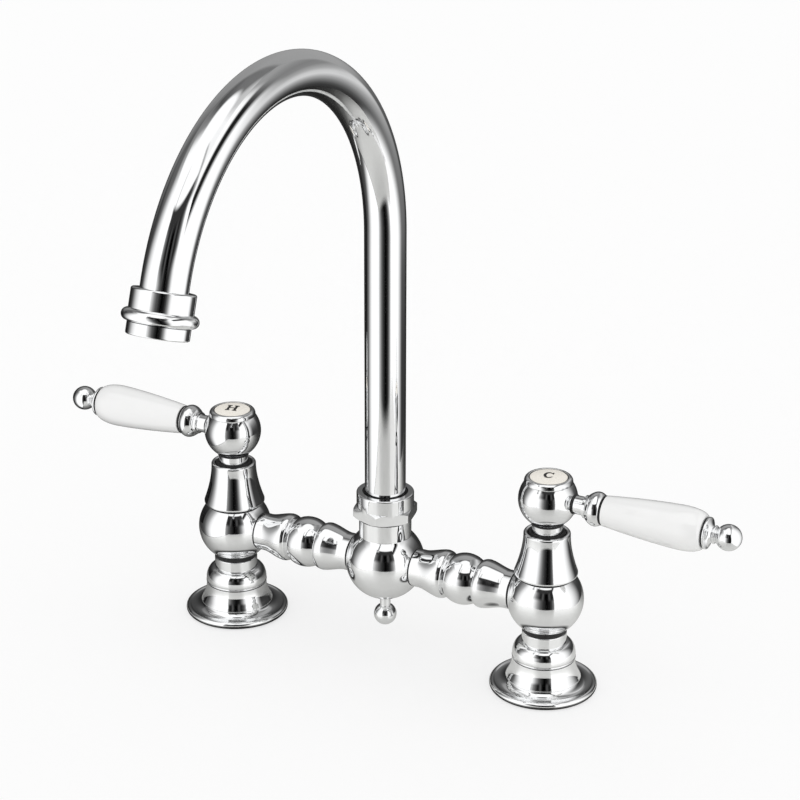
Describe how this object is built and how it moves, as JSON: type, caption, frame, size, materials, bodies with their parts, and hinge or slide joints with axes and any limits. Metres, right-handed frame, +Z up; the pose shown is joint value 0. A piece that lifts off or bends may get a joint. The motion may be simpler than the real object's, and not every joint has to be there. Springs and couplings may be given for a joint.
{
  "type": "bridge kitchen faucet",
  "caption": "Bridge kitchen faucet for a deck: hot and cold pillars with quarter-turn porcelain levers, a turned bridge and a swivelling swan-neck spout.",
  "frame": {"origin": "On the deck surface, midway between the axes of the two pillars.", "axes": "+Z up, +X along the bridge towards the cold pillar, -Y towards the user, where the spout points at rest."},
  "size_m": [0.4212, 0.2645, 0.3705],
  "materials": {
    "chrome": "polished chrome plate on brass",
    "brass": "machined brass, unplated inside",
    "porcelain": "white glazed porcelain",
    "index": "ivory enamel with a black letter",
    "ceramic": "ground ceramic",
    "rubber": "black rubber",
    "plastic": "grey moulded plastic"
  },
  "bodies": {
    "bridge": {"hot_foot_seal": "rubber", "hot_foot_flange": "chrome", "hot_inlet_sleeve": "brass", "hot_pillar_collar": "chrome", "hot_valve_body": "chrome", "hot_seat_seal": "rubber", "hot_cartridge_body": "brass", "hot_disc_fixed": "ceramic", "hot_bonnet": "chrome", "cold_foot_seal": "rubber", "cold_foot_flange": "chrome", "cold_inlet_sleeve": "brass", "cold_pillar_collar": "chrome", "cold_valve_body": "chrome", "cold_seat_seal": "rubber", "cold_cartridge_body": "brass", "cold_disc_fixed": "ceramic", "cold_bonnet": "chrome", "hot_arm": "chrome", "cold_arm": "chrome", "centre_body": "chrome", "drop_knob": "chrome", "union_nut": "chrome", "spout_bush": "plastic"},
    "spout": {"spout_circlip": "brass", "spout_tailpiece": "brass", "o_ring_lower": "rubber", "o_ring_upper": "rubber", "spout_tube": "chrome", "spout_collar": "chrome", "aerator_housing": "chrome", "aerator_washer": "rubber", "aerator_insert": "plastic"},
    "hot_handle": {"hot_disc_moving": "ceramic", "hot_spindle": "brass", "hot_hub_ball": "chrome", "hot_handle_screw": "brass", "hot_index_bezel": "chrome", "hot_index_disc": "index", "hot_lever_ferrule": "chrome", "hot_lever_washer_inner": "rubber", "hot_lever_grip": "porcelain", "hot_lever_washer_outer": "rubber", "hot_lever_finial": "chrome", "hot_lever_rod": "brass"},
    "cold_handle": {"cold_disc_moving": "ceramic", "cold_spindle": "brass", "cold_hub_ball": "chrome", "cold_handle_screw": "brass", "cold_index_bezel": "chrome", "cold_index_disc": "index", "cold_lever_ferrule": "chrome", "cold_lever_washer_inner": "rubber", "cold_lever_grip": "porcelain", "cold_lever_washer_outer": "rubber", "cold_lever_finial": "chrome", "cold_lever_rod": "brass"}
  },
  "joints": [
    {"name": "spout_swivel", "type": "hinge", "parent": "bridge", "child": "spout", "pos_m": [0, 0, 0.08], "axis": [0, 0, 1], "continuous": true},
    {"name": "hot_valve_turn", "type": "hinge", "parent": "bridge", "child": "hot_handle", "pos_m": [-0.1, 0, 0.09], "axis": [0, 0, 1], "range_deg": [0, 90]},
    {"name": "cold_valve_turn", "type": "hinge", "parent": "bridge", "child": "cold_handle", "pos_m": [0.1, 0, 0.09], "axis": [0, 0, -1], "range_deg": [0, 90]}
  ]
}
